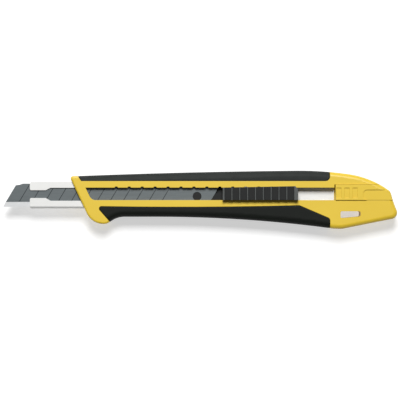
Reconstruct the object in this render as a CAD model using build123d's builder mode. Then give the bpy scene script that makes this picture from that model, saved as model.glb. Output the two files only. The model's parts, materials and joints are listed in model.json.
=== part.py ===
from build123d import *
import os
from math import radians, tan

os.makedirs("parts", exist_ok=True)

# Frame: +X runs from the blade tip to the heel, +Y from the cutting edge to the blade's back,
# +Z from the back of the handle to its rail face. X = 0 is the middle of the handle, Y = 0 the
# blade's centre line, and Z = 0 the plane that the knife lies on. All sizes are in millimetres.

# Handle
handle_length = 126.6
handle_thickness = 10.0
crown_height = 9.5          # centre line to the top of the crown
crown_ahead = 39.3          # crown ahead of the heel
ridge_behind = 46.2         # a point of the back's long curve, behind the nose
ridge_drop = 0.68           # and below the crown
slope_ahead = 18.7          # a point where the back falls to the heel
slope_drop = 1.4
shoulder_ahead = 2.8        # end of the back, ahead of the heel
shoulder_height = 1.33
shoulder_corner = 3.0
heel_bulge = 0.4            # how far the rear face curves out
heel_height = 8.55          # centre line to the heel's lower corner
heel_depth = 13.05          # centre line to the lowest point, under the lanyard slot
heel_corner = 2.5
heel_overrun = 1.0          # heel's sharp corner beyond the rounded one
keel_ahead = 21.6           # rear end of the flat keel, ahead of the heel
keel_length = 3.2
keel_slope = 0.1            # fall over the keel's length
keel_corner = 4.0
nose_height = 7.3           # centre line to the top of the nose
nose_angle = 64.8           # rake of the nose, from the X axis
nose_overrun = 0.4          # nose's sharp corner beyond the rounded one
nose_corner = 0.9
guard_depth = 11.12         # centre line to the tip of the finger guard
guard_rise = 33.0           # slope of the guard's rear flank
guard_tip_run = 5.6         # flat bottom of the guard, before its corners are rounded
guard_front_corner = 7.0
guard_rear_corner = 2.5
belly_depth = 8.35          # centre line to the belly behind the guard
belly_corner = 9.0
straight_belly = 33.3       # belly starts to fall this far behind the nose
nose_lift = 2.2             # how far the back face rises towards the nose
nose_rise_start = 24.0      # it starts to rise this far behind the nose
heel_lift = 1.5             # how far the back face rises towards the heel
heel_rise_start = 27.0      # it starts to rise this far ahead of the heel
nose_edge = 0.8             # rounding of the nose's front edges
heel_edge = 1.7             # rounding of the heel's front edges
grip_edge = 2.4             # rounding of the rubber's front edges
back_edge = 2.0             # rounding of the back edges behind the nose
edge_change = 23.0          # behind the nose, where the edges change under the rubber

# Blade, a standard 9 mm snap-off blade
blade_width = 9.0
blade_thickness = 0.38
blade_length = 79.0         # along the cutting edge
blade_angle = 59.0          # tip and snap lines, from the X axis
segment_pitch = 5.0
segment_count = 13
blade_out = 10.5            # tip beyond the channel's mouth, at rest
bevel_width = 1.9
edge_land = 0.06            # thickness left at the cutting edge
snap_groove = 0.3
snap_depth = 0.1
spine_drop = 0.65           # the corner above the tip is blunted in two steps
spine_step = 0.2
spine_step_run = 1.5
spine_run = 2.3
blade_hole = 3.4
blade_hole_ahead = 3.85     # ahead of the rear end of the cutting edge
blade_hole_drop = 0.4       # below the centre line

# Blade channel, folded from stainless sheet
sheet = 0.5
bend_radius = 0.9
channel_reach = 15.7        # mouth ahead of the nose
channel_play = 0.175        # blade to side wall
channel_rear_gap = 24.6     # rear end to the heel
channel_wall = 0.3          # nylon left round the channel, inside the rubber
lip_depth = 1.3             # rail face to the channel's lips
lip_play = 0.12             # blade to lips
lip_length = 6.1            # wide lips behind the mouth
lip_taper = 1.9
lip_corner = 0.6
mouth_gap_top = 1.92        # wide lips' edges
mouth_gap_bottom = -1.08
lip_gap_top = 2.87          # narrow lips' edges
lip_gap_bottom = -2.15

# Window over the channel, and the rack along its upper edge
window_top = 2.93
window_bottom = -1.9
window_start = 4.2          # front end behind the nose's front edge line
window_corner = 2.6
rack_count = 14
rack_ahead = 10             # notches ahead of the one that holds the tooth
park_travel = 13.0          # rearward travel to the notch that parks the blade inside
rack_width = 1.8
rack_depth = 0.4
rack_flank = 60.0

# Rubber grips
back_skin = 2.4             # rubber on the back face
side_rubber = 2.0           # rubber on the top and bottom edges
cover = 0.1                 # nylon left between the channel's lips and the rubber
top_grip_line = 5.45        # lower edge of the top grip
top_grip_inset = 3.3        # top grip's front end behind the nose's front edge, along the crown
top_grip_lean = 55.0        # slant of its front end, from the X axis
top_grip_end = 26.3         # rear end ahead of the heel
top_grip_corner = 1.7
bottom_grip_line = -4.2     # upper edge of the bottom grip
bottom_grip_sag = 0.27      # lowest point of that edge
bottom_grip_rise = 0.35     # its rear end
bottom_grip_start = 11.1    # front end behind the nose
bottom_grip_front = 1.4     # height of its blunt front end
bottom_grip_run = 5.6       # its slant along the guard
bottom_grip_fall = 6.4
bottom_grip_end = 26.2      # rear end ahead of the heel
bottom_grip_tail = 11.9     # slant at its rear end
bottom_grip_tail_fall = 4.75
bottom_grip_corners = (0.9, 1.4, 2.0)   # front, rear and tail
back_pad_length = 78.0
back_pad_width = 7.2
back_pad_depth = 1.2
back_pad_corner = 3.0
back_groove_count = 8       # at each end of the pad
back_groove_pitch = 2.6
back_groove_width = 1.1
back_groove_depth = 0.4
back_groove_margin = 1.0    # groove's end to the pad's edge
back_groove_place = 25.0    # middle of the grooves, each way from the pad's middle

# Carriage and lock spring
slide_play = 0.1
tongue_thickness = 1.2
tongue_length = 11.0
tongue_height = 3.6
tongue_drop = 1.1           # its middle below the centre line
tongue_collar = 1.0         # round the peg
foot_thickness = 0.5
peg_play = 0.08
peg_proud = 0.2             # peg above the blade
runner_inset = 1.22         # runner's rear end ahead of the slider's
neck_behind = 1.5           # neck's front end behind the runner's
neck_inset = 2.0            # neck's rear end ahead of the slider's
neck_play_low = 0.4         # neck to the channel's lips
neck_play_high = 0.15
key_inset = 6.0             # key's ends inside the neck's
key_rise = 0.75             # key's lower side above the neck's
key_height = 1.3
leaf = 0.3                  # thickness of the lock spring
leaf_height = 1.0
leaf_drop = 0.75            # leaf below the neck's upper side
leaf_lift = 0.1             # leaf above the channel's lips
leaf_start = 2.5            # leaf's front end behind the neck's
leaf_end = 1.5              # leaf's rear end ahead of the neck's
leaf_room = 0.5             # free space below the leaf
leaf_grip = 3.5             # length held in the slot at its rear end
tooth_behind = 18.8         # lock tooth behind the blade's hole
tooth_reach = 0.35          # tooth beyond the window's upper edge

# Thumb slider
thumb_length = 29.05
thumb_front = 9.87          # front end behind the blade's hole
thumb_height = 2.4          # rib crests above the rail face
thumb_gap = 0.15            # slider above the rail face
thumb_rise = 3.5            # upper edge above the centre line, at its rear end
thumb_corner_run = 1.0
thumb_corner_drop = 1.3
rib_pitch = 3.02
rib_step = 0.45             # depth of the scoops between the crests
crest_width = 0.4
crest_offset = 0.35         # first crest behind the slider's front end
thumb_travel = 0.7          # each way, to lift the lock tooth
peg_width = 1.2             # pegs that press the tooth's flanks
peg_height = 0.4
peg_gap_play = 0.25

# End plug and lanyard slot
plug_top = 4.13
plug_bottom = -1.96
plug_play = 0.08
plug_seam = 0.4
plug_proud = 0.5            # plate above the rail face
plug_lap = 0.5              # plate's root inside the base
plug_rib_width = 1.9
plug_rib_length = 4.0
plug_rib_pitch = 3.1
plug_rib_count = 3
plug_rib_behind = 4.4       # middle groove behind the plug's front end
plug_rib_middle = 0.85      # above the centre line
plug_rib_depth = 0.3
plug_prong = 2.2
plug_prong_width = 1.4
dish_length = 14.0          # thumb recess at the plug's rear end
dish_width = 4.0
dish_depth = 0.35
dish_corner = 1.5
dish_ahead = 6.5            # its middle ahead of the heel
lanyard_length = 7.7
lanyard_width = 2.7
lanyard_narrow = 2.0        # width at the rear end
lanyard_start = 22.25       # front end ahead of the heel
lanyard_top = -6.2
lanyard_corner = 0.6

# Places worked out from the sizes above
nose_x = -handle_length / 2
heel_x = handle_length / 2
mouth_x = nose_x - channel_reach
channel_rear = heel_x - channel_rear_gap
tip_x = mouth_x - blade_out
blade_rear = tip_x + blade_length
hole_x = blade_rear - blade_hole_ahead
channel_half = blade_width / 2 + channel_play + sheet
rail_z = handle_thickness
lip_front = rail_z - lip_depth
lip_z = lip_front - sheet
blade_front = lip_z - lip_play
blade_z = blade_front - blade_thickness
runner_z = blade_z - tongue_thickness
floor_z = runner_z - slide_play / 2
channel_height = floor_z - sheet
front_skin = lip_depth - cover
over = 1.0                  # cuts run past the faces that they open by this
past = 0.1                  # or by this inside a thin part
far = 2 * handle_length


def nose_line(y):
    """X of the raked nose line at height y."""
    return nose_x - nose_overrun + (nose_height - y) / tan(radians(nose_angle))


# Outline of the handle, seen from the front
guard_start = nose_line(-guard_depth)
guard_tip = guard_start + guard_tip_run
guard_end = guard_tip + (guard_depth - belly_depth) / tan(radians(guard_rise))
belly_start = nose_x + straight_belly
keel_x = heel_x - keel_ahead - keel_length
shoulder_x = heel_x - shoulder_ahead
with BuildSketch() as outline:
    with BuildLine():
        nose = FilletPolyline(
            (nose_x - nose_overrun, nose_height),
            (guard_start, -guard_depth),
            (guard_tip, -guard_depth),
            (guard_end, -belly_depth),
            (belly_start, -belly_depth),
            radius=[guard_front_corner, guard_rear_corner, belly_corner],
        )
        belly = TangentArc(nose @ 1, (keel_x, keel_slope - heel_depth), tangent=(1, 0))
        keel = Line(belly @ 1, (keel_x + keel_length, -heel_depth))
        under_heel = Line(keel @ 1, (heel_x + heel_overrun, -heel_height))
        heel_back = SagittaArc(under_heel @ 1, (shoulder_x, shoulder_height), heel_bulge)
        ridge = ThreePointArc(
            nose @ 0,
            (nose_x + ridge_behind, crown_height - ridge_drop),
            (heel_x - crown_ahead, crown_height),
        )
        slope = TangentArc(
            ridge @ 1,
            (heel_x - slope_ahead, crown_height - slope_drop),
            tangent=ridge % 1,
        )
        TangentArc(slope @ 1, heel_back @ 1, tangent=slope % 1)
    make_face()
    for end in (keel @ 0, keel @ 1):
        fillet(outline.vertices().sort_by_distance(end)[0], keel_corner)


def blank(edge, rim, front=handle_thickness, with_nose=False):
    """The handle's outer shape, its front edges rounded by edge and its back ones by rim."""
    front_end = nose_x - 2 * nose_lift
    rear_end = heel_x + 2 * heel_overrun
    with BuildPart() as body:
        with BuildSketch():
            add(outline.sketch)
        extrude(amount=front)
        with BuildSketch(Plane.XZ):
            with BuildLine():
                base = Line((nose_x + nose_rise_start, 0), (heel_x - heel_rise_start, 0))
                rear = TangentArc(base @ 1, (rear_end, heel_lift), tangent=(1, 0))
                fore = TangentArc(base @ 0, (front_end, nose_lift), tangent=(-1, 0))
                Polyline(rear @ 1, (rear_end, far), (front_end, far), fore @ 1)
            make_face()
        extrude(amount=far, both=True, mode=Mode.INTERSECT)
        corners = [
            (heel_x + heel_overrun, -heel_height, heel_corner),
            (shoulder_x, shoulder_height, shoulder_corner),
        ]
        if with_nose:
            corners.append((nose_x - nose_overrun, nose_height, nose_corner))
        for x, y, radius in corners:
            upright = body.edges().filter_by(Axis.Z)
            fillet(upright.sort_by_distance((x, y, front / 2))[0], radius)
        fillet(body.faces().sort_by(Axis.Z)[-1].edges(), edge)
        band = nose_lift + past
        low = body.edges().filter_by(lambda bend: bend.bounding_box().max.Z < band)
        fillet(low.filter_by(Axis.Y, reverse=True), rim)
    return body.part


nose_blank = blank(nose_edge, nose_edge, with_nose=True)
heel_blank = blank(heel_edge, back_edge)
soft_blank = blank(grip_edge, back_edge)
plug_blank = blank(heel_edge, back_edge, front=handle_thickness + plug_proud)
blank_join = nose_x + edge_change

# Inner core that the rubber is moulded over: the outline shrunk, and a wall round the channel
with BuildPart() as grip_core:
    with BuildSketch(Plane.XY.offset(back_skin)):
        offset(outline.sketch, amount=-side_rubber)
    extrude(amount=handle_thickness - front_skin - back_skin)
    with BuildSketch(Plane.XY.offset(channel_height - channel_wall)):
        Rectangle(far, 2 * (channel_half + channel_wall))
    extrude(amount=rail_z - front_skin - channel_height + channel_wall)

with BuildPart() as top_pocket:
    with BuildSketch(Plane.XY.offset(-over)):
        with BuildLine():
            crown_x = nose_line(nose_height) + top_grip_inset
            front_slope = 1 / tan(radians(top_grip_lean))
            high = 2 * crown_height
            Polyline(
                (crown_x + (nose_height - top_grip_line) * front_slope, top_grip_line),
                (heel_x - top_grip_end, top_grip_line),
                (heel_x - top_grip_end, high),
                (crown_x + (nose_height - high) * front_slope, high),
                close=True,
            )
        make_face()
    extrude(amount=handle_thickness + 2 * over)
    upright = top_pocket.edges().filter_by(Axis.Z)
    fillet(
        upright.sort_by_distance((heel_x - top_grip_end, top_grip_line, 0))[0],
        top_grip_corner,
    )
    add(grip_core.part, mode=Mode.SUBTRACT)

grip_front = Vector(nose_x + bottom_grip_start, bottom_grip_line)
grip_blunt = grip_front - (0, bottom_grip_front)
grip_low = grip_blunt + (bottom_grip_run, -bottom_grip_fall)
grip_rear = Vector(heel_x - bottom_grip_end, bottom_grip_line - bottom_grip_tail_fall)
grip_tail = Vector(grip_rear.X - bottom_grip_tail, bottom_grip_line + bottom_grip_rise)
with BuildPart() as bottom_pocket:
    with BuildSketch(Plane.XY.offset(-over)):
        with BuildLine():
            Polyline(
                grip_front,
                grip_blunt,
                grip_low,
                (grip_low.X, -2 * heel_depth),
                (grip_rear.X, -2 * heel_depth),
                grip_rear,
                grip_tail,
            )
            waist = ((grip_front.X + grip_tail.X) / 2, bottom_grip_line - bottom_grip_sag)
            ThreePointArc(grip_tail, waist, grip_front)
        make_face()
    extrude(amount=handle_thickness + 2 * over)
    for corner, radius in zip((grip_front, grip_rear, grip_tail), bottom_grip_corners):
        upright = bottom_pocket.edges().filter_by(Axis.Z)
        fillet(upright.sort_by_distance(corner)[0], radius)
    add(grip_core.part, mode=Mode.SUBTRACT)

with BuildPart() as back_pocket:
    with BuildSketch(Plane.XY.offset(-over)):
        RectangleRounded(back_pad_length, back_pad_width, back_pad_corner)
    extrude(amount=back_pad_depth + over)

with BuildPart() as grip_top:
    add(soft_blank)
    add(top_pocket.part, mode=Mode.INTERSECT)

with BuildPart() as grip_bottom:
    add(soft_blank)
    add(bottom_pocket.part, mode=Mode.INTERSECT)

# Back pad, with grip grooves at each end and a plain middle
with BuildPart() as grip_back_pad:
    add(soft_blank)
    add(back_pocket.part, mode=Mode.INTERSECT)
    for side in (-1, 1):
        with BuildSketch(Plane.XY):
            with Locations((side * back_groove_place, 0)):
                with GridLocations(back_groove_pitch, 0, back_groove_count, 1):
                    SlotOverall(
                        back_pad_width - 2 * back_groove_margin,
                        back_groove_width,
                        rotation=90,
                    )
        extrude(amount=back_groove_depth, mode=Mode.SUBTRACT)

# Folded channel: a tube flattened from sheet, with its front slit open between two lips
channel_depth = lip_front - channel_height
channel_middle = (channel_height + lip_front) / 2
with BuildPart() as blade_channel:
    with BuildSketch(Plane.YZ.offset(mouth_x)):
        with Locations((0, channel_middle)):
            RectangleRounded(2 * channel_half, channel_depth, bend_radius)
            RectangleRounded(
                2 * (channel_half - sheet),
                lip_z - floor_z,
                bend_radius - sheet,
                mode=Mode.SUBTRACT,
            )
    extrude(amount=channel_rear - mouth_x)
    with BuildSketch(Plane.XY.offset(lip_z - past)):
        with BuildLine():
            wide_end = mouth_x + lip_length
            taper_end = wide_end + lip_taper
            Polyline(
                (mouth_x - over, mouth_gap_bottom),
                (wide_end, mouth_gap_bottom),
                (taper_end, lip_gap_bottom),
                (channel_rear + over, lip_gap_bottom),
                (channel_rear + over, lip_gap_top),
                (taper_end, lip_gap_top),
                (wide_end, mouth_gap_top),
                (mouth_x - over, mouth_gap_top),
                close=True,
            )
        make_face()
    extrude(amount=sheet + 2 * past, mode=Mode.SUBTRACT)
    with BuildSketch(Plane.XY.offset(channel_height)):
        with Locations(((mouth_x + channel_rear) / 2, 0)):
            RectangleRounded(channel_rear - mouth_x, 2 * channel_half, bend_radius)
    extrude(amount=channel_depth, mode=Mode.INTERSECT)
    mouth = blade_channel.edges().filter_by(Axis.Z).filter_by_position(
        Axis.X, mouth_x - past, mouth_x + past
    )
    fillet(mouth.filter_by_position(Axis.Z, lip_z, lip_front), lip_corner)

hole_places = [(hole_x, -blade_hole_drop)]
snap_slant = tan(radians(90 - blade_angle))
half = blade_width / 2


def snap_line(x, y):
    """X at height y of a line with the blade's slant that starts at x on the cutting edge."""
    return x + (y + half) * snap_slant


with BuildPart() as blade:
    blunt_y = half - spine_drop
    blunt_x = snap_line(tip_x, blunt_y)
    with BuildSketch(Plane.XY.offset(blade_z)):
        with BuildLine():
            Polyline(
                (tip_x, -half),
                (blunt_x, blunt_y),
                (blunt_x + spine_step_run, blunt_y + spine_step),
                (snap_line(tip_x, half) + spine_run, half),
                (snap_line(blade_rear, half), half),
                (blade_rear, -half),
                close=True,
            )
        make_face()
        with Locations(hole_places):
            Circle(blade_hole / 2, mode=Mode.SUBTRACT)
    extrude(amount=blade_thickness)
    with BuildSketch(Plane.XY.offset(blade_front - snap_depth)):
        for k in range(1, segment_count):
            start = tip_x + k * segment_pitch
            with BuildLine():
                Polyline(
                    (snap_line(start, -half - over), -half - over),
                    (snap_line(start, half + over), half + over),
                    (snap_line(start, half + over) + snap_groove, half + over),
                    (snap_line(start, -half - over) + snap_groove, -half - over),
                    close=True,
                )
            make_face()
    extrude(amount=snap_depth + past, mode=Mode.SUBTRACT)
    with BuildSketch(Plane.YZ.offset(tip_x - over)):
        land = (blade_thickness - edge_land) / 2
        for face_z, lean in ((blade_z, 1), (blade_front, -1)):
            with BuildLine():
                Polyline(
                    (bevel_width - half, face_z),
                    (-half, face_z + lean * land),
                    (-half - over, face_z + lean * land),
                    (-half - over, face_z - lean * over),
                    (bevel_width - half, face_z - lean * over),
                    close=True,
                )
            make_face()
    extrude(amount=blade_length + 2 * over, mode=Mode.SUBTRACT)

# Carriage: a runner in the channel, a tongue under the blade with a peg through its hole,
# a thin foot beside the tongue, and a neck that rises through the window
thumb_x = hole_x + thumb_front
thumb_end = thumb_x + thumb_length
runner_x = hole_x + tongue_length
runner_end = thumb_end - runner_inset
runner_half = channel_half - sheet - slide_play
runner_round = bend_radius - sheet
runner_top = lip_z - slide_play
neck_front = runner_x + neck_behind
neck_rear = thumb_end - neck_inset
neck_low = lip_gap_bottom + neck_play_low
neck_high = lip_gap_top - neck_play_high
key_front = neck_front + key_inset
key_rear = neck_rear - key_inset
key_low = neck_low + key_rise
key_middle = ((key_front + key_rear) / 2, key_low + key_height / 2)
leaf_y = neck_high - leaf_drop
leaf_rear = neck_rear - leaf_end
leaf_free = leaf_rear - leaf_grip
leaf_z = lip_front + leaf_lift
with BuildPart() as slide_carriage:
    with BuildSketch(Plane.XY.offset(runner_z)):
        with Locations(((runner_x + runner_end) / 2, 0)):
            Rectangle(runner_end - runner_x, 2 * runner_half)
    extrude(amount=runner_top - runner_z)
    fillet(slide_carriage.edges().filter_by(Axis.X), runner_round)
    with BuildSketch(Plane.XY.offset(runner_z)):
        with Locations(hole_places):
            Circle(blade_hole / 2 + tongue_collar)
        with Locations(((hole_x + runner_x) / 2, -tongue_drop)):
            Rectangle(tongue_length, tongue_height)
    extrude(amount=tongue_thickness)
    with BuildSketch(Plane.XY.offset(runner_z)):
        with Locations(((hole_x + runner_x) / 2, 0)):
            Rectangle(tongue_length, 2 * (runner_half - runner_round))
    extrude(amount=foot_thickness)
    with BuildSketch(Plane.XY.offset(blade_z)):
        with Locations(hole_places):
            Circle(blade_hole / 2 - peg_play)
    extrude(amount=blade_thickness + peg_proud)
    with BuildSketch(Plane.XY.offset(runner_top)):
        with Locations(((neck_front + neck_rear) / 2, (neck_low + neck_high) / 2)):
            Rectangle(neck_rear - neck_front, neck_high - neck_low)
    extrude(amount=rail_z - runner_top)
    # Slot for the slider's key
    with BuildSketch(Plane.XY.offset(lip_front)):
        with Locations(key_middle):
            Rectangle(key_rear - key_front, key_height)
    extrude(amount=rail_z, mode=Mode.SUBTRACT)
    # Room for the lock spring to bend, and the slot that grips its rear end
    with BuildSketch(Plane.XY.offset(lip_front)):
        with BuildLine():
            room_front = neck_front + leaf_start - over
            Polyline(
                (room_front, neck_high + over),
                (room_front, leaf_y - leaf_room),
                (leaf_free, leaf_y - leaf_room),
                (leaf_free, leaf_y),
                (leaf_rear, leaf_y),
                (leaf_rear, leaf_y + leaf),
                (leaf_free, leaf_y + leaf),
                (leaf_free, neck_high + over),
                close=True,
            )
        make_face()
    extrude(amount=rail_z, mode=Mode.SUBTRACT)

# Lock spring: a leaf with a folded tooth that rests in the rack
tooth_x = hole_x + tooth_behind
tooth_top = window_top + tooth_reach
tooth_run = tooth_top - leaf_y - leaf
with BuildPart() as lock_spring:
    with BuildSketch(Plane.XY.offset(leaf_z)):
        with BuildLine():
            Polyline(
                (leaf_rear, leaf_y),
                (leaf_rear, leaf_y + leaf),
                (tooth_x + tooth_run + leaf, leaf_y + leaf),
                (tooth_x + leaf, tooth_top),
                (tooth_x - leaf, tooth_top),
                (tooth_x - tooth_run - leaf, leaf_y + leaf),
                (neck_front + leaf_start, leaf_y + leaf),
                (neck_front + leaf_start, leaf_y),
                (tooth_x - tooth_run - leaf / 2, leaf_y),
                (tooth_x - leaf / 2, tooth_top - leaf),
                (tooth_x + leaf / 2, tooth_top - leaf),
                (tooth_x + tooth_run + leaf / 2, leaf_y),
                close=True,
            )
        make_face()
    extrude(amount=leaf_height)

# Rack cut into the window's upper edge and the lip below it
rack_x = tooth_x - rack_ahead * segment_pitch
rack_places = [(rack_x + k * segment_pitch, window_top) for k in range(rack_count)]
rack_places.append((tooth_x + park_travel, window_top))
with BuildPart() as rack:
    with BuildSketch(Plane.XY.offset(lip_z - past)):
        with Locations(rack_places):
            Trapezoid(rack_width, 2 * rack_depth, rack_flank)
    extrude(amount=rail_z - lip_z + 2 * past)

# Thumb slider: a stepped pad over the rail, with a key in the carriage's slot
thumb_z = rail_z + thumb_gap
thumb_top = rail_z + thumb_height
rib_count = int((thumb_length - crest_offset - crest_width) / rib_pitch)
with BuildPart() as thumb_slider:
    with BuildSketch(Plane.XY.offset(thumb_z)):
        with BuildLine():
            Polyline(
                (thumb_x, window_bottom),
                (thumb_end, window_bottom),
                (thumb_end, thumb_rise - thumb_corner_drop),
                (thumb_end - thumb_corner_run, thumb_rise),
                (thumb_x, window_top),
                close=True,
            )
        make_face()
    extrude(amount=thumb_height)
    with BuildSketch(Plane.XZ.offset(-far)):
        for k in range(rib_count):
            start = thumb_x + crest_offset + k * rib_pitch
            with BuildLine():
                scoop = SagittaArc(
                    (start + crest_width, thumb_top),
                    (start + rib_pitch, thumb_top),
                    -rib_step,
                )
                Polyline(
                    scoop @ 1,
                    (start + rib_pitch, thumb_top + over),
                    (start + crest_width, thumb_top + over),
                    scoop @ 0,
                )
            make_face()
    extrude(amount=2 * far, mode=Mode.SUBTRACT)
    with BuildSketch(Plane.XY.offset(lip_front + thumb_gap)):
        with Locations(key_middle):
            Rectangle(
                key_rear - key_front - 2 * (thumb_travel + slide_play / 2),
                key_height - 2 * slide_play,
            )
    extrude(amount=thumb_z - lip_front)
    # Two pegs that press the tooth's flanks down when the slider is pushed either way
    peg_offset = tooth_run + leaf + peg_gap_play + peg_width / 2
    with BuildSketch(Plane.XY.offset(leaf_z + 2 * slide_play)):
        for side in (-1, 1):
            with Locations((tooth_x + side * peg_offset, neck_high - peg_height / 2)):
                Rectangle(peg_width, peg_height)
    extrude(amount=thumb_z - leaf_z - slide_play)

# End plug: its base fills the channel's cavity, its plate the slot in the heel, and two
# prongs reach into the channel under its lips
plug_x = channel_rear + plug_seam
plug_middle = (plug_top + plug_bottom) / 2
with BuildPart() as plug_slot:
    with BuildSketch(Plane.XY.offset(lip_front)):
        with Locations((channel_rear + far / 2, plug_middle)):
            Rectangle(far, plug_top - plug_bottom)
    extrude(amount=handle_thickness)

with BuildPart() as cavity:
    with BuildSketch(Plane.YZ.offset(mouth_x)):
        with Locations((0, channel_middle)):
            RectangleRounded(2 * channel_half, channel_depth, bend_radius)
    extrude(amount=far)

with BuildPart() as end_plug:
    with BuildSketch(Plane.YZ.offset(plug_x)):
        with Locations((0, channel_middle)):
            RectangleRounded(
                2 * (channel_half - plug_play),
                channel_depth - 2 * plug_play,
                bend_radius,
            )
    extrude(amount=handle_length)
    with BuildSketch(Plane.XY.offset(lip_front - plug_lap)):
        with Locations((plug_x + handle_length / 2, plug_middle)):
            Rectangle(handle_length, plug_top - plug_bottom - 2 * plug_play)
    extrude(amount=handle_thickness)
    for side in (-1, 1):
        prong_y = side * (runner_half - plug_prong_width / 2)
        with BuildSketch(Plane.XY.offset(runner_z)):
            with Locations((plug_x + (over - plug_prong) / 2, prong_y)):
                Rectangle(plug_prong + over, plug_prong_width - 2 * past)
        extrude(amount=runner_top - runner_z)
    add(plug_blank, mode=Mode.INTERSECT)
    plate_top = rail_z + plug_proud
    with BuildSketch(Plane.XY.offset(plate_top - plug_rib_depth)):
        with Locations((plug_x + plug_rib_behind, plug_rib_middle)):
            with GridLocations(plug_rib_pitch, 0, plug_rib_count, 1):
                Rectangle(plug_rib_width, plug_rib_length)
    extrude(amount=over, mode=Mode.SUBTRACT)
    with BuildSketch(Plane.XY.offset(plate_top - dish_depth)):
        with Locations((heel_x - dish_ahead, past)):
            RectangleRounded(dish_length, dish_width, dish_corner)
    extrude(amount=over, mode=Mode.SUBTRACT)

# Lanyard slot, its lower edge parallel to the heel
with BuildPart() as lanyard_slot:
    with BuildSketch(Plane.XY.offset(-over)):
        lanyard_x = heel_x - lanyard_start
        with BuildLine():
            Polyline(
                (lanyard_x, lanyard_top),
                (lanyard_x + lanyard_length, lanyard_top),
                (lanyard_x + lanyard_length, lanyard_top - lanyard_narrow),
                (lanyard_x, lanyard_top - lanyard_width),
                close=True,
            )
        make_face()
    extrude(amount=handle_thickness + 2 * over)
    fillet(lanyard_slot.edges().filter_by(Axis.Z), lanyard_corner)

with BuildPart() as window:
    with BuildSketch(Plane.XY.offset(lip_front - past)):
        window_x = nose_line(window_top) + window_start
        window_low_x = nose_line(window_bottom) + window_start
        with BuildLine():
            Polyline(
                (window_x, window_top),
                (window_low_x, window_bottom),
                (plug_x, window_bottom),
                (plug_x, window_top),
                close=True,
            )
        make_face()
    extrude(amount=handle_thickness)
    upright = window.edges().filter_by(Axis.Z)
    fillet(upright.sort_by_distance((window_low_x, window_bottom, rail_z))[0], window_corner)

with BuildPart() as heel_half:
    add(heel_blank)
    split(bisect_by=Plane.YZ.offset(blank_join), keep=Keep.TOP)

# Handle body: nose and heel from their own blanks, joined under the rubber, then every cut
cuts = (top_pocket, bottom_pocket, back_pocket, cavity, window, rack, plug_slot, lanyard_slot)
with BuildPart() as handle_body:
    add(nose_blank)
    split(bisect_by=Plane.YZ.offset(blank_join), keep=Keep.BOTTOM)
    add(heel_half.part)
    for cut in cuts:
        add(cut.part, mode=Mode.SUBTRACT)

with BuildPart() as notched_channel:
    add(blade_channel.part)
    add(rack.part, mode=Mode.SUBTRACT)

pieces = {
    "handle_body": handle_body,
    "grip_top": grip_top,
    "grip_bottom": grip_bottom,
    "grip_back_pad": grip_back_pad,
    "blade_channel": notched_channel,
    "blade": blade,
    "slide_carriage": slide_carriage,
    "lock_spring": lock_spring,
    "thumb_slider": thumb_slider,
    "end_plug": end_plug,
}
for name, piece in pieces.items():
    piece.part.label = name
    export_step(piece.part, f"parts/{name}.step")
    print(name, "volume", round(piece.part.volume, 1), "mm3")
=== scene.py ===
import bpy
import bmesh
import json
from math import radians
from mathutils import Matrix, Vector

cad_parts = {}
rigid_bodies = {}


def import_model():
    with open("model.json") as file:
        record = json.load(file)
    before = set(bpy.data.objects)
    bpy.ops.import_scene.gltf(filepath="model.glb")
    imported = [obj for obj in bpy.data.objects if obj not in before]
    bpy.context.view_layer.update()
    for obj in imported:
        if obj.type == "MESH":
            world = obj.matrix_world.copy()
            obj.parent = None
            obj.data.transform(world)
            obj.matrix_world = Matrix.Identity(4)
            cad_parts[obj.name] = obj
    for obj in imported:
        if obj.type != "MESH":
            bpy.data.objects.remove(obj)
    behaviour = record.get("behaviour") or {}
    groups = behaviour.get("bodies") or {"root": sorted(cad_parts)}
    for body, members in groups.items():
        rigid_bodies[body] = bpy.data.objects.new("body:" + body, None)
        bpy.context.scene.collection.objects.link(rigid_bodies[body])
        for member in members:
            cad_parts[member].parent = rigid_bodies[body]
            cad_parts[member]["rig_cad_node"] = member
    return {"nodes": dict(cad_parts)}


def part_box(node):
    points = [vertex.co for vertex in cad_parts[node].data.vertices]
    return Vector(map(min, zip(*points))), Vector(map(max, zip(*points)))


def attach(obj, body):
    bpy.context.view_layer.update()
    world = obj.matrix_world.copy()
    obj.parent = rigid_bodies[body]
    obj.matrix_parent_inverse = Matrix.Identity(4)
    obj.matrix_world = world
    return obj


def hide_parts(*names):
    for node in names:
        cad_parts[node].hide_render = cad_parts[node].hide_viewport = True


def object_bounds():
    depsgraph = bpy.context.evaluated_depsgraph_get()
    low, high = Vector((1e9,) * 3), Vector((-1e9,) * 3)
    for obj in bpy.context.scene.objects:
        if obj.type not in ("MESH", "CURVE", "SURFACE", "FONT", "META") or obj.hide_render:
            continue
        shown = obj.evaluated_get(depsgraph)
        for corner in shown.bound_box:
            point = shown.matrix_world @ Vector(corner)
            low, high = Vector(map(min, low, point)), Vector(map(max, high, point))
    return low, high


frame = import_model()
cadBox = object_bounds()
print("frame loaded:", len(frame["nodes"]), "nodes")
mm = 0.001
bpy.ops.object.select_all(action="DESELECT")


# shader helpers

class Wire:  # a shader socket that can be used in sums
    def __init__(self, tree, socket):
        self.tree = tree
        self.socket = socket

    def math(self, operation, first, second):
        node = self.tree.nodes.new("ShaderNodeMath")
        node.operation = operation
        for index, value in enumerate((first, second)):
            if isinstance(value, Wire):
                self.tree.links.new(value.socket, node.inputs[index])
            else:
                node.inputs[index].default_value = value
        return Wire(self.tree, node.outputs[0])

    def __add__(self, other):
        return self.math("ADD", self, other)

    __radd__ = __add__

    def __sub__(self, other):
        return self.math("SUBTRACT", self, other)

    def __rsub__(self, other):
        return self.math("SUBTRACT", other, self)

    def __mul__(self, other):
        return self.math("MULTIPLY", self, other)

    __rmul__ = __mul__

    def __lt__(self, other):
        return self.math("LESS_THAN", self, other)

    def __gt__(self, other):
        return self.math("GREATER_THAN", self, other)


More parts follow.
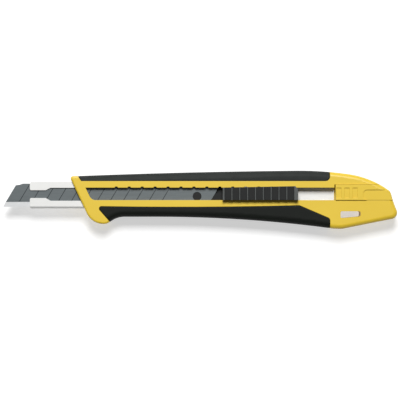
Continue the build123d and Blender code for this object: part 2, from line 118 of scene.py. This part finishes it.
class Finish:  # one material, with its nodes made one call at a time
    def __init__(self, name):
        self.material = bpy.data.materials.new(name)
        self.material.use_nodes = True
        self.tree = self.material.node_tree
        self.shader = self.tree.nodes["Principled BSDF"]

    def put(self, socket, value):
        if isinstance(value, Wire):
            self.tree.links.new(value.socket, socket)
        elif hasattr(socket.default_value, "__len__") and len(socket.default_value) == 4:
            socket.default_value = (*value, 1.0)
        else:
            socket.default_value = value

    def node(self, kind, settings=None, output=0, **values):
        made = self.tree.nodes.new("ShaderNode" + kind)
        for key, value in (settings or {}).items():
            setattr(made, key, value)
        for key, value in values.items():
            index = int(key[1:]) if key[1:].isdigit() else key.replace("_", " ")
            self.put(made.inputs[index], value)
        return Wire(self.tree, made.outputs[output])

    def place(self, stretch=(1, 1, 1)):
        here = self.node("TexCoord", output="Object")
        return self.node("Mapping", Vector=here, Scale=stretch)

    def along(self, axis):
        return self.node("SeparateXYZ", output=axis, Vector=self.node("TexCoord", output="Object"))

    def noise(self, scale, detail, stretch=(1, 1, 1)):
        return self.node("TexNoise", Vector=self.place(stretch), Scale=scale, Detail=detail)

    def mix(self, factor, first, second):  # 0, 6 and 7 are a colour mix's own sockets
        return self.node("Mix", {"data_type": "RGBA"}, output=2, i0=factor, i6=first, i7=second)

    def edges(self, radius):
        return self.node("Bevel", {"samples": 6}, Radius=radius)

    def bump(self, height, depth, **under):
        return self.node("Bump", Height=height, Distance=depth, **under)

    def finish(self, **values):
        for key, value in values.items():
            self.put(self.shader.inputs[key.replace("_", " ")], value)
        return self.material


def dress(names, material):
    for name in names:
        mesh = bpy.data.objects[name].data
        mesh.materials.clear()
        mesh.materials.append(material)


# modelling helpers

def alone(piece):  # only this piece is selected and active
    bpy.ops.object.select_all(action="DESELECT")
    piece.select_set(True)
    bpy.context.view_layer.objects.active = piece


def pick(test, kind="faces"):  # selects faces, edges or vertices by their place, in edit mode
    mesh = bmesh.from_edit_mesh(bpy.context.object.data)
    bpy.ops.mesh.select_all(action="DESELECT")
    for item in getattr(mesh, kind):
        if test(item):
            item.select_set(True)
    mesh.select_flush_mode()
    bmesh.update_edit_mesh(bpy.context.object.data)


def half(first, second):
    return (first + second) / 2


def middleOf(item):
    return sum((corner.co for corner in item.verts), Vector()) / len(item.verts)


def roundEdges(piece, width, segments, angle):
    alone(piece)
    bpy.ops.object.shade_smooth()
    edges = piece.modifiers.new("edges", "BEVEL")
    edges.width = width
    edges.segments = segments
    edges.limit_method = "ANGLE"
    edges.angle_limit = radians(angle)
    edges.use_clamp_overlap = False
    edges.harden_normals = True
    bpy.ops.object.modifier_apply(modifier="edges")


def moulded(node, name, grain, passes):  # the node's shape as soft rubber, its edges rolled over
    alone(bpy.data.objects[node])
    bpy.ops.object.duplicate()
    piece = bpy.context.object
    piece.name = name
    del piece["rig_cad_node"]
    bpy.ops.object.mode_set(mode="EDIT")
    bpy.ops.mesh.select_all(action="SELECT")
    bpy.ops.mesh.remove_doubles(threshold=grips["merge"])
    bpy.ops.object.mode_set(mode="OBJECT")
    remesh = piece.modifiers.new("remesh", "REMESH")
    remesh.mode = "VOXEL"
    remesh.voxel_size = grain
    bpy.ops.object.modifier_apply(modifier="remesh")
    relax = piece.modifiers.new("relax", "SMOOTH")
    relax.factor = 0.5
    relax.iterations = passes
    bpy.ops.object.modifier_apply(modifier="relax")
    bpy.ops.object.shade_smooth()
    return piece


def settle(piece, body, node, material):
    piece.data.materials.clear()
    piece.data.materials.append(material)
    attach(piece, body)
    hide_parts(node)
    print("made", piece.name)


# yellow glass-filled nylon

nylon = {
    "colour": (0.745, 0.530, 0.038),
    "deep": (0.67, 0.460, 0.027),
    "flowScale": 140,
    "flowStretch": (0.35, 1, 1),    # the moulding's flow runs along the handle
    "grainScale": 7000,
    "grainDepth": 0.012 * mm,
    "gloss": (0.36, 0.14),          # roughness, and how much the grain adds
    "edge": 0.14 * mm,              # radius that its moulded edges shine with
}


def makeNylon():
    it = Finish("yellowNylon")
    flow = it.noise(nylon["flowScale"], 4, nylon["flowStretch"])
    grain = it.noise(nylon["grainScale"], 2)
    smooth, rough = nylon["gloss"]
    return it.finish(
        Base_Color=it.mix(flow, nylon["deep"], nylon["colour"]),
        Roughness=smooth + rough * grain,
        Normal=it.bump(grain, nylon["grainDepth"], Normal=it.edges(nylon["edge"])),
        IOR=1.5,
    )


# black elastomer, with painted light and shade: a paler lit tone for the crown, a darker shaded
# tone for the belly and back

rubber = {
    # painted light and shade: the crown grip gets a paler tone, as if lit from above; the belly
    # and back grips get a darker one, as if in shade
    "crown": ((0.013, 0.0155, 0.0142), (0.022, 0.0265, 0.0240)),
    "belly": ((0.0027, 0.0035, 0.0028), (0.0050, 0.0075, 0.0048)),
    "cloudScale": 260,
    "grainScale": 5200,
    "grainDepth": 0.03 * mm,
    "gloss": (0.58, 0.16),
    "sheen": 0.21,                  # specular level
}


def makeRubber(name, shades):
    it = Finish(name)
    cloud = it.noise(rubber["cloudScale"], 5)
    grain = it.noise(rubber["grainScale"], 2)
    smooth, rough = rubber["gloss"]
    return it.finish(
        Base_Color=it.mix(cloud, *shades),
        Roughness=smooth + rough * grain,
        Normal=it.bump(grain, rubber["grainDepth"]),
        IOR=1.5,
        Specular_IOR_Level=rubber["sheen"],
    )


# metals, all brushed lengthwise

stainless = {
    "dull": (0.71, 0.71, 0.69),
    "bright": (0.80, 0.80, 0.785),
    "smearScale": 200,
    "smearStretch": (0.3, 1, 1),
    "brushScale": 9000,
    "brushStretch": (0.04, 1, 1),
    "brushDepth": 0.004 * mm,
    "gloss": (0.34, 0.14),
    "metallic": 0.45,
}


def makeStainless():
    it = Finish("stainlessSheet")
    brush = it.noise(stainless["brushScale"], 3, stainless["brushStretch"])
    smear = it.noise(stainless["smearScale"], 3, stainless["smearStretch"])
    smooth, rough = stainless["gloss"]
    return it.finish(
        Base_Color=it.mix(smear, stainless["dull"], stainless["bright"]),
        Metallic=stainless["metallic"],
        Roughness=smooth + rough * brush,
        Normal=it.bump(brush, stainless["brushDepth"]),
    )


blade = {
    "flat": (0.152, 0.172, 0.178),
    "dark": (0.118, 0.134, 0.139),
    "ground": (0.90, 0.91, 0.92),
    "paintedScoreShade": (0.035, 0.040, 0.042),
    "groundWidth": 1.9 * mm,            # of the ground bevel, up from the edge
    "scoreDepth": (0.04 * mm, 0.14 * mm),   # the snap lines' floor, below the upper face, where painted shade goes
    "brushScale": 7000,
    "brushStretch": (0.03, 1, 1),
    "stoneScale": 8000,
    "stoneStretch": (1, 0.05, 1),       # the bevel is ground across
    "depth": 0.004 * mm,
    "gloss": (0.36, 0.1, 0.06),         # roughness, what the brush adds and the grinding takes
    "metallic": (0.75, 0.35),           # on the flat, and how much less on the bevel
}


def makeBladeSteel():
    it = Finish("bladeSteel")
    low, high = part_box("blade")
    y = it.along(1)
    z = it.along(2)
    shallow, deep = blade["scoreDepth"]
    ground = y < low.y + blade["groundWidth"]
    # painted shade: the floor of each snap-line groove is coloured dark, as if in shadow
    scoreShadeMask = (z < high.z - shallow) * (z > high.z - deep) * (1 - ground)
    brush = it.noise(blade["brushScale"], 3, blade["brushStretch"])
    stone = it.noise(blade["stoneScale"], 2, blade["stoneStretch"])
    flat = it.mix(brush, blade["dark"], blade["flat"])
    flat = it.mix(scoreShadeMask, flat, blade["paintedScoreShade"])
    smooth, rough, polish = blade["gloss"]
    metallic, less = blade["metallic"]
    return it.finish(
        Base_Color=it.mix(ground, flat, blade["ground"]),
        Metallic=metallic - less * ground,
        Roughness=smooth + rough * brush - polish * ground,
        Normal=it.bump(brush * (1 - ground) + stone * ground, blade["depth"]),
    )


spring = {
    "dull": (0.50, 0.49, 0.46),
    "bright": (0.66, 0.65, 0.62),
    "brushScale": 9000,
    "brushStretch": (0.05, 1, 1),
    "gloss": (0.25, 0.12),
}


def makeSpringSteel():
    it = Finish("springSteel")
    brush = it.noise(spring["brushScale"], 2, spring["brushStretch"])
    smooth, rough = spring["gloss"]
    return it.finish(
        Base_Color=it.mix(brush, spring["dull"], spring["bright"]),
        Metallic=1.0,
        Roughness=smooth + rough * brush,
    )


# black acetal, its crests painted paler: a painted highlight along the top of each rib

acetal = {
    "colour": (0.0030, 0.0035, 0.0035),
    "cloud": (0.0050, 0.0062, 0.0060),
    "cloudScale": 400,
    "paintedCrestHighlight": (0.075, 0.080, 0.078),
    "crestHighlightDepth": 0.14 * mm,
    "crestHighlightSpread": (0.6, 0.8),             # least painted highlight on a crest, and what the cloud adds
    "grainScale": 9000,
    "grainDepth": 0.008 * mm,
    "gloss": (0.44, 0.14),
    "sheen": 0.28,                  # specular level
}


def makeAcetal(name, top=None):
    it = Finish(name)
    cloud = it.noise(acetal["cloudScale"], 4)
    grain = it.noise(acetal["grainScale"], 2)
    colour = it.mix(cloud, acetal["colour"], acetal["cloud"])
    if top is not None:
        # painted highlight: the top of each crest is coloured paler, as if catching the light
        paintedCrestHighlight = it.along(2) > top - acetal["crestHighlightDepth"]
        least, more = acetal["crestHighlightSpread"]
        colour = it.mix(paintedCrestHighlight * (least + more * cloud), colour, acetal["paintedCrestHighlight"])
    smooth, rough = acetal["gloss"]
    return it.finish(
        Base_Color=colour,
        Roughness=smooth + rough * grain,
        Normal=it.bump(grain, acetal["grainDepth"]),
        IOR=1.5,
        Specular_IOR_Level=acetal["sheen"],
    )


# one rubber made twice: a lit copy for the crown and a shaded copy for the belly and back (painted
# light and shade)
crownRubber = makeRubber("crownRubber", rubber["crown"])
bellyRubber = makeRubber("bellyRubber", rubber["belly"])
dress(["handle_body", "end_plug"], makeNylon())
dress(["blade_channel"], makeStainless())
dress(["blade"], makeBladeSteel())
dress(["lock_spring"], makeSpringSteel())
dress(["slide_carriage"], makeAcetal("blackAcetal"))
print("materials made")

# rubber grips, moulded over the core

grips = {
    "merge": 0.001 * mm,
    "grain": 0.23 * mm,             # of the remesh
    "passes": 4,
    "pieces": (("crownGrip", "grip_top", crownRubber),
               ("bellyGrip", "grip_bottom", bellyRubber),
               ("backGrip", "grip_back_pad", bellyRubber)),
}
for name, node, finish in grips["pieces"]:
    grip = moulded(node, name, grips["grain"], grips["passes"])
    settle(grip, "handle", node, finish)


# thumb slider: one long block drawn out rib by rib, then rounded all over

slider = {
    "ribs": 9,
    "pitch": 3.02 * mm,
    "crest": 0.40 * mm,
    "lead": 0.35 * mm,          # front end to the first crest
    "drop": 0.05 * mm,          # length of a crest's steep rear side
    "depth": 0.45 * mm,         # of a panel behind its crest
    "climb": 0.22 * mm,         # each panel rises again towards the next crest
    "base": 0.15 * mm,          # above the rail
    "widen": 0.55 * mm,         # the upper side leans out by this over the length
    "corner": 1.1 * mm,
    "round": 0.11 * mm,
    "keyLength": 11.0 * mm,
    "keyWidth": 1.1 * mm,
    "keyRise": -1.02 * mm,      # key's middle from the block's
    "keyDepth": 1.1 * mm,
    "near": 0.01 * mm,          # what counts as lying at a place
    "facing": 0.9,              # what counts as facing along an axis
    "upright": 1 * mm,          # least height of a corner edge at the end
    "leastBend": 9,             # degrees, past which an edge is rounded
}


def makeSlider():
    low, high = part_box("thumb_slider")
    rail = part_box("handle_body")[1].z
    near = slider["near"]
    facing = slider["facing"]
    bottom = rail + slider["base"]
    front = low.x
    length = high.x - low.x
    width = high.y - low.y - slider["widen"]
    bpy.ops.object.select_all(action="DESELECT")
    bpy.ops.mesh.primitive_cube_add(
        size=1,
        location=(front + slider["lead"] / 2, low.y + width / 2, half(bottom, high.z)),
        scale=(slider["lead"], width, high.z - bottom),
    )
    block = bpy.context.object
    block.name = "sliderPad"
    bpy.ops.object.transform_apply(location=True, rotation=True, scale=True)
    bpy.ops.object.mode_set(mode="EDIT")
    reach = front + slider["lead"]
    level = high.z
    tail = high.x - reach - slider["ribs"] * slider["pitch"]
    panel = slider["pitch"] - slider["crest"] - slider["drop"] * 2
    steps = [(slider["crest"], 0), (slider["drop"], -slider["depth"]),
             (panel, slider["climb"]), (slider["drop"], slider["depth"] - slider["climb"])]
    for run, rise in steps * slider["ribs"] + [(tail, 0)]:
        pick(lambda face: face.normal.x > facing and middleOf(face).x > reach - near)
        bpy.ops.mesh.extrude_region_move(TRANSFORM_OT_translate={"value": (run, 0, 0)})
        reach += run
        pick(lambda spot: spot.co.x > reach - near and spot.co.z > level - near, "verts")
        bpy.ops.transform.translate(value=(0, 0, rise))
        level += rise
        pick(lambda spot: spot.co.x > reach - near and spot.co.y > low.y + width / 2, "verts")
        bpy.ops.transform.translate(value=(0, slider["widen"] * run / length, 0))
    pick(lambda edge: middleOf(edge).x > reach - near and middleOf(edge).y > low.y + width
         and abs(edge.verts[0].co.z - edge.verts[1].co.z) > slider["upright"], "edges")
    bpy.ops.mesh.bevel(offset=slider["corner"], segments=1)
    # the key under it, that drives the carriage
    centre = half(low.x, high.x)
    pick(lambda face: face.normal.z < -facing
         and abs(middleOf(face).x - centre) < slider["keyLength"] / 2)
    bpy.ops.mesh.extrude_region_move(TRANSFORM_OT_translate={"value": (0, 0, 0)})
    bpy.ops.transform.resize(value=(1, slider["keyWidth"] / width, 1))
    bpy.ops.transform.translate(value=(0, slider["keyRise"], -slider["keyDepth"]))
    bpy.ops.mesh.select_all(action="SELECT")
    bpy.ops.mesh.normals_make_consistent(inside=False)
    bpy.ops.object.mode_set(mode="OBJECT")
    roundEdges(block, slider["round"], 3, slider["leastBend"])
    return block


# the slider's material gets its top height so its crests carry the painted highlight
settle(makeSlider(), "thumb", "thumb_slider",
       makeAcetal("sliderAcetal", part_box("thumb_slider")[1].z))


# stage, light and camera

low, high = cadBox
middle = [half(first, second) for first, second in zip(low, high)]
studio = {
    "floor": 2.0,
    "gap": 0.05 * mm,           # under the knife
    "framed": 154.6 * mm,       # width that the camera takes in
    "lens": 200,
    "aimY": -1.85 * mm,
    "sunk": 1.0 * mm,           # that width is held this far below the rail face
    "fleckScale": 900,
    "paper": ((0.52, 0.52, 0.52), (0.56, 0.56, 0.56)),
    "paperRoughness": 0.8,
    "glow": 0.56,               # keeps the shadow faint
    "room": 0.10,
    "lampPlace": (0, 0.48, 0.82),   # from the knife's middle, and its height
    "lampWidth": 0.34,
    "lampPower": 10.8,
}

bpy.ops.mesh.primitive_plane_add(
    size=studio["floor"],
    location=(middle[0], middle[1], low[2] - studio["gap"]),
)
floor = bpy.context.object
floor.name = "floor"
paper = Finish("paper")
fleck = paper.noise(studio["fleckScale"], 3)
floor.data.materials.append(paper.finish(
    Base_Color=paper.mix(fleck, *studio["paper"]),
    Roughness=studio["paperRoughness"],
    Emission_Color=(1.0, 1.0, 1.0),
    Emission_Strength=studio["glow"],
))
# the paper is clear from beneath, so that the back can be looked at
paper.put(
    paper.tree.nodes["Material Output"].inputs["Surface"],
    paper.node("MixShader", i0=paper.node("NewGeometry", output="Backfacing"),
               i1=Wire(paper.tree, paper.shader.outputs[0]), i2=paper.node("BsdfTransparent")),
)

scene = bpy.context.scene
world = bpy.data.worlds.new("room")
world.use_nodes = True
world.node_tree.nodes["Background"].inputs["Color"].default_value = (1, 1, 1, 1)
world.node_tree.nodes["Background"].inputs["Strength"].default_value = studio["room"]
scene.world = world


aside, above, height = studio["lampPlace"]
lampPlace = Vector((middle[0] + aside, middle[1] + above, height))
bpy.ops.object.light_add(type="AREA", location=lampPlace)
lamp = bpy.context.object
lamp.name = "keyLamp"
lamp.data.size = studio["lampWidth"]
lamp.data.energy = studio["lampPower"]
lamp.rotation_euler = (Vector(middle) - lampPlace).to_track_quat("-Z", "Y").to_euler()

camera = bpy.data.objects.new("camera", bpy.data.cameras.new("camera"))
scene.collection.objects.link(camera)
camera.data.lens = studio["lens"]
distance = studio["framed"] * studio["lens"] / camera.data.sensor_width
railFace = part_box("handle_body")[1].z
camera.location = (half(low[0], high[0]), studio["aimY"], railFace - studio["sunk"] + distance)
camera.data.clip_start = 0.01
scene.camera = camera
scene.view_settings.view_transform = "Standard"
print("stage set")
